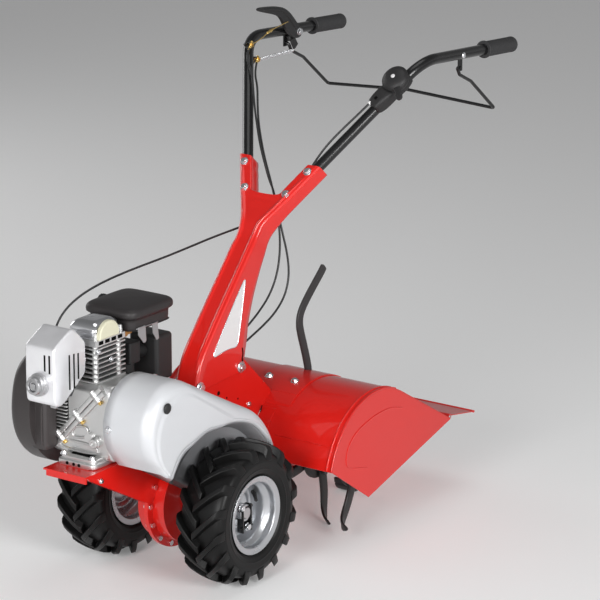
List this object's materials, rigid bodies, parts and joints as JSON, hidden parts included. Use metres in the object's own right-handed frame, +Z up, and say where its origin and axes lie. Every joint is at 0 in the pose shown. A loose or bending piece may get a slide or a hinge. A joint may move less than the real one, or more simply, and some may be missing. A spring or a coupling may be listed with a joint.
{
  "type": "garden tiller",
  "caption": "Walk-behind garden tiller with driven field wheels, front engine, belt guard, hooded rear tine rotor, depth skid, Y-shaped column and twin handles with a clutch bail.",
  "frame": {"origin": "middle of the machine's box, on the ground the wheels and the skid stand on", "axes": "+X forward from the grips to the engine, +Y to the machine's left, +Z up"},
  "size_m": [1.4058, 0.529, 1.1595],
  "materials": {
    "red_paint": "glossy enamel on pressed steel",
    "black_paint": "gloss black paint",
    "black_plastic": "fine-grained black plastic",
    "cable_sheath": "black extruded sheath",
    "grip_rubber": "ribbed soft rubber",
    "tyre_rubber": "dull field tyre rubber",
    "rim_silver": "silver lacquer",
    "guard_silver": "satin silver paint",
    "shaft_steel": "machined steel",
    "zinc": "bright zinc plating",
    "cast_aluminium": "as-cast alloy",
    "polished_cover": "polished alloy",
    "cream_paint": "cream moulding",
    "muffler_steel": "aluminised sheet steel",
    "iron": "dark machined casting",
    "belt_rubber": "fabric-backed rubber",
    "plug_ceramic": "brown plug boot"
  },
  "bodies": {
    "chassis": {"air_cleaner": "black_plastic", "back_plate": "guard_silver", "ball_bearings": "shaft_steel", "belt_guard": "guard_silver", "cam_cover": "cream_paint", "carburettor": "cast_aluminium", "case_bolts": "zinc", "clutch_cable": "cable_sheath", "column": "red_paint", "crankcase_lower": "cast_aluminium", "crankcase_upper": "cast_aluminium", "cylinder": "cast_aluminium", "depth_bracket": "red_paint", "drive_belt": "belt_rubber", "drive_chains": "shaft_steel", "engine_carrier": "red_paint", "fan_housing": "black_plastic", "frame_bolts": "zinc", "fuel_tank": "black_plastic", "gearcase_left": "red_paint", "gearcase_right": "red_paint", "grip_left": "grip_rubber", "grip_right": "grip_rubber", "handle_tube_left": "black_paint", "handle_tube_right": "black_paint", "hinge_pins": "shaft_steel", "hood_end_left": "red_paint", "hood_end_right": "red_paint", "hood_shell": "red_paint", "lever_clamp": "black_plastic", "muffler": "muffler_steel", "muffler_cover": "muffler_steel", "neck_frame": "red_paint", "recoil_cover": "black_plastic", "reverse_cable": "cable_sheath", "spark_plug": "plug_ceramic", "throttle_cable": "cable_sheath", "throttle_housing": "black_plastic", "valve_cover": "polished_cover"},
    "wheels": {"wheel_axle": "shaft_steel", "tyre_left": "tyre_rubber", "tyre_right": "tyre_rubber", "rim_left": "rim_silver", "rim_right": "rim_silver", "hub_locks": "black_paint"},
    "input_drive": {"input_shaft": "shaft_steel", "driven_pulley": "iron"},
    "tines": {"tine_shaft": "shaft_steel", "tine_rotors": "black_paint"},
    "crank": {"crankshaft": "shaft_steel", "flywheel": "iron", "engine_pulley": "iron"},
    "clutch_bail": {"bail": "black_paint"},
    "tensioner": {"tension_arm": "iron"},
    "reverse_handle": {"reverse_lever": "black_plastic"},
    "throttle": {"throttle_lever": "black_plastic"},
    "depth": {"depth_lever": "black_paint"},
    "flap": {"rear_flap": "red_paint"},
    "starter": {"starter_grip": "black_plastic"},
    "cap": {"fuel_cap": "black_plastic"}
  },
  "joints": [
    {"name": "wheels_spin", "type": "hinge", "parent": "chassis", "child": "wheels", "pos_m": [0.30089, 0, 0.165], "axis": [0, 1, 0], "continuous": true},
    {"name": "input_spin", "type": "hinge", "parent": "chassis", "child": "input_drive", "pos_m": [0.26589, 0, 0.28], "axis": [0, 1, 0], "continuous": true},
    {"name": "tines_spin", "type": "hinge", "parent": "chassis", "child": "tines", "pos_m": [-0.12411, 0, 0.16], "axis": [0, 1, 0], "continuous": true},
    {"name": "crank_spin", "type": "hinge", "parent": "chassis", "child": "crank", "pos_m": [0.49889, 0, 0.411], "axis": [0, 1, 0], "continuous": true},
    {"name": "bail_swing", "type": "hinge", "parent": "chassis", "child": "clutch_bail", "pos_m": [-0.46911, 0, 1.05], "axis": [0, 1, 0], "range_deg": [0, 30], "stiffness_Nm_per_rad": 4, "springref_deg": -14.32},
    {"name": "tension_swing", "type": "hinge", "parent": "chassis", "child": "tensioner", "pos_m": [0.37091, 0, 0.29089], "axis": [0, 1, 0], "range_deg": [0, 6]},
    {"name": "reverse_swing", "type": "hinge", "parent": "chassis", "child": "reverse_handle", "pos_m": [-0.49111, -0.226, 1.08005], "axis": [0, 1, 0], "range_deg": [-30, 0], "stiffness_Nm_per_rad": 1.5, "springref_deg": 11.46},
    {"name": "throttle_swing", "type": "hinge", "parent": "chassis", "child": "throttle", "pos_m": [-0.26918, 0.21458, 1.0404], "axis": [0.7547, 0, 0.6561], "range_deg": [-20, 40]},
    {"name": "depth_swing", "type": "hinge", "parent": "chassis", "child": "depth", "pos_m": [-0.17311, 0.026, 0.326], "axis": [0, 1, 0], "range_deg": [0, 12]},
    {"name": "flap_swing", "type": "hinge", "parent": "chassis", "child": "flap", "pos_m": [-0.44046, 0, 0.20489], "axis": [0, 1, 0], "range_deg": [-60, 20]},
    {"name": "starter_pull", "type": "slide", "parent": "chassis", "child": "starter", "axis": [0, 0, 1], "range_m": [0, 0.06], "stiffness_N_per_m": 60, "springref_m": -0.03},
    {"name": "fuel_cap_turn", "type": "hinge", "parent": "chassis", "child": "cap", "pos_m": [0.36889, -0.14, 0.616], "axis": [0, -1, 0], "range_deg": [0, 90]}
  ],
  "couplings": [
    {"joint": "input_spin", "follows": "wheels_spin", "ratio": 4.2222},
    {"joint": "tines_spin", "follows": "wheels_spin", "ratio": 2.1111},
    {"joint": "tension_swing", "follows": "bail_swing", "ratio": 0.19}
  ]
}
